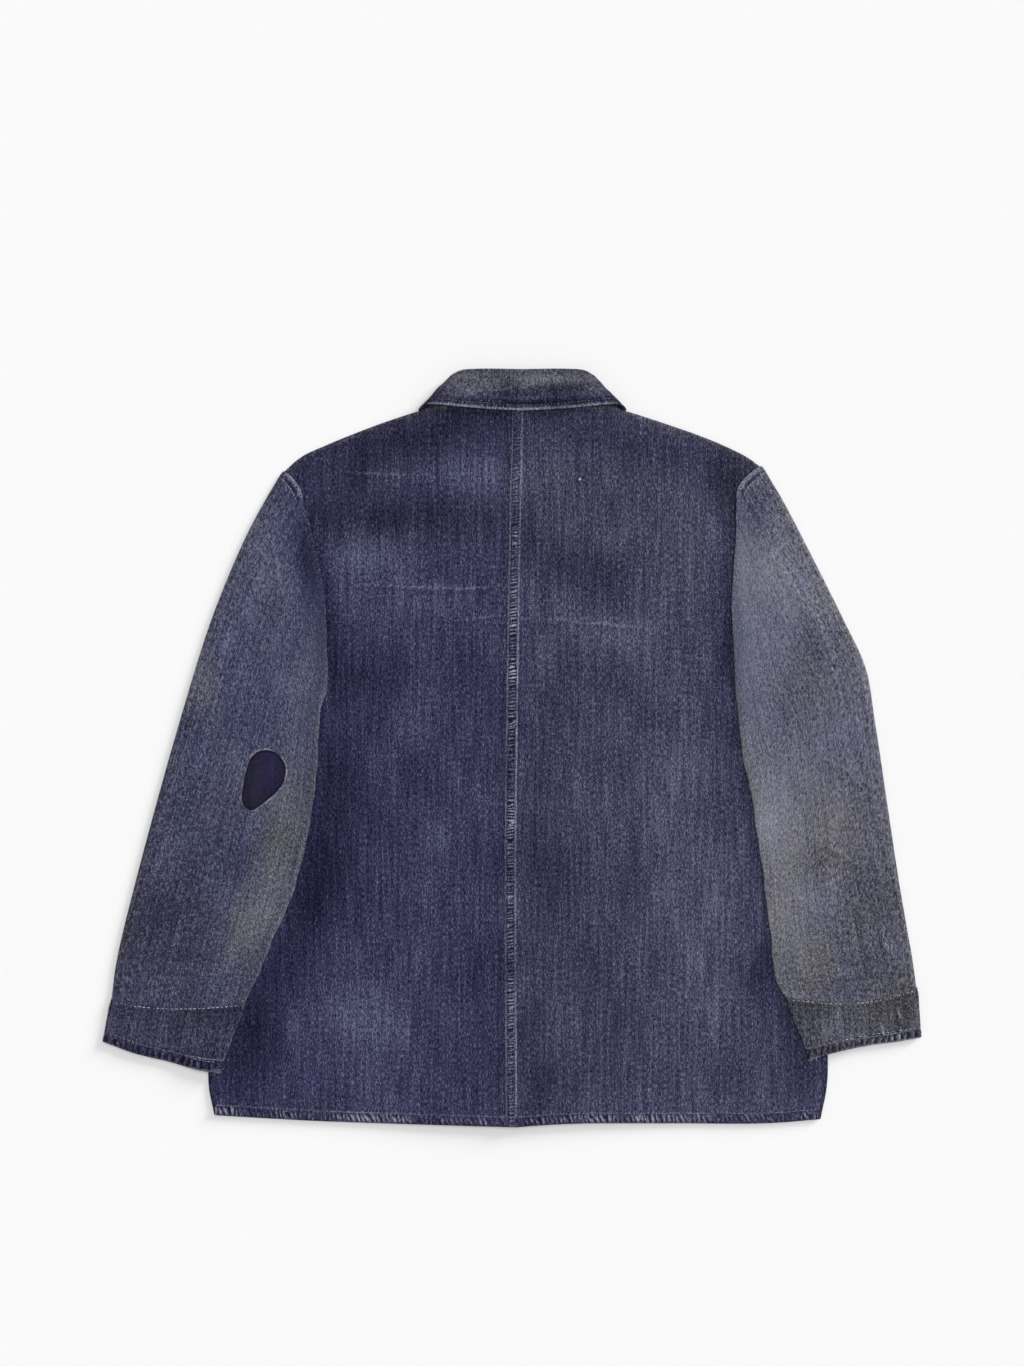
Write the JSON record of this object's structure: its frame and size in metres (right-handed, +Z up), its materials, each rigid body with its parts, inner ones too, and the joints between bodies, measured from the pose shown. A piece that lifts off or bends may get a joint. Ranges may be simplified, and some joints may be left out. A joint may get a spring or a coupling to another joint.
{
  "type": "patched denim work jacket",
  "caption": "Faded indigo denim work jacket laid flat with its back up, sleeves folded down, turn-down collar, band cuffs and a small dark mending patch on one sleeve.",
  "frame": {"origin": "On the surface that the jacket lies on, under the middle of its outline.", "axes": "+Z is up from that surface, so the back of the jacket faces +Z. +Y is towards the collar. +X is the wearer's right, which is the right of the picture."},
  "size_m": [0.818, 0.756, 0.0114],
  "materials": {
    "body_denim": "faded indigo twill",
    "sleeve_denim": "greyed indigo twill",
    "cuff_denim": "faded indigo twill",
    "collar_denim": "rubbed indigo twill",
    "patch_denim": "dark indigo twill",
    "button_horn": "satin"
  },
  "bodies": {
    "root": {"back_left": "body_denim", "back_right": "body_denim", "front_left": "body_denim", "front_right": "body_denim", "sleeve_left": "sleeve_denim", "sleeve_right": "sleeve_denim", "cuff_left": "cuff_denim", "cuff_right": "cuff_denim", "collar": "collar_denim", "sleeve_patch": "patch_denim", "button_1": "button_horn", "button_2": "button_horn", "button_3": "button_horn", "button_4": "button_horn", "button_5": "button_horn"}
  },
  "joints": []
}
